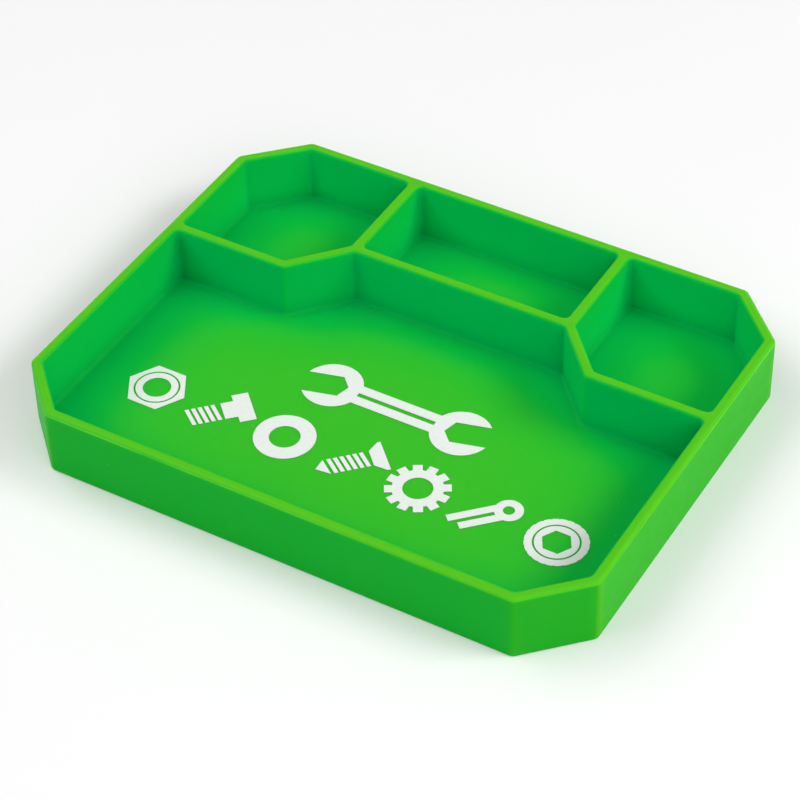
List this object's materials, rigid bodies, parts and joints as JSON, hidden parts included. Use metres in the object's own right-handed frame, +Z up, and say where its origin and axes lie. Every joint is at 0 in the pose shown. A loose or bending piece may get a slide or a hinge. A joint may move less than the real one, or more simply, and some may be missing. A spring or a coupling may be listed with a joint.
{
  "type": "parts sorting tray",
  "caption": "Shallow soft silicone sorting tray with cut-back corners, small bins along the rear and a large front compartment printed with fastener symbols.",
  "frame": {"origin": "centre of the underside, on the surface that the tray stands on", "axes": "+X along the long side, +Y towards the row of bins, +Z up out of the open top"},
  "size_m": [0.22, 0.174, 0.026],
  "materials": {
    "silicone": "satin",
    "ink": "matte"
  },
  "bodies": {
    "root": {"tray_floor": "silicone", "front_wall": "silicone", "right_wall": "silicone", "rear_wall": "silicone", "left_wall": "silicone", "front_right_corner_wall": "silicone", "rear_right_corner_wall": "silicone", "rear_left_corner_wall": "silicone", "front_left_corner_wall": "silicone", "right_bin_front_divider": "silicone", "right_bin_corner_divider": "silicone", "right_bin_side_divider": "silicone", "left_bin_front_divider": "silicone", "left_bin_corner_divider": "silicone", "left_bin_side_divider": "silicone", "middle_bin_front_divider": "silicone", "print_hex_nut": "ink", "print_bolt": "ink", "print_washer": "ink", "print_screw": "ink", "print_tooth_washer": "ink", "print_split_pin": "ink", "print_socket_screw_head": "ink", "print_spanner": "ink"}
  },
  "joints": []
}
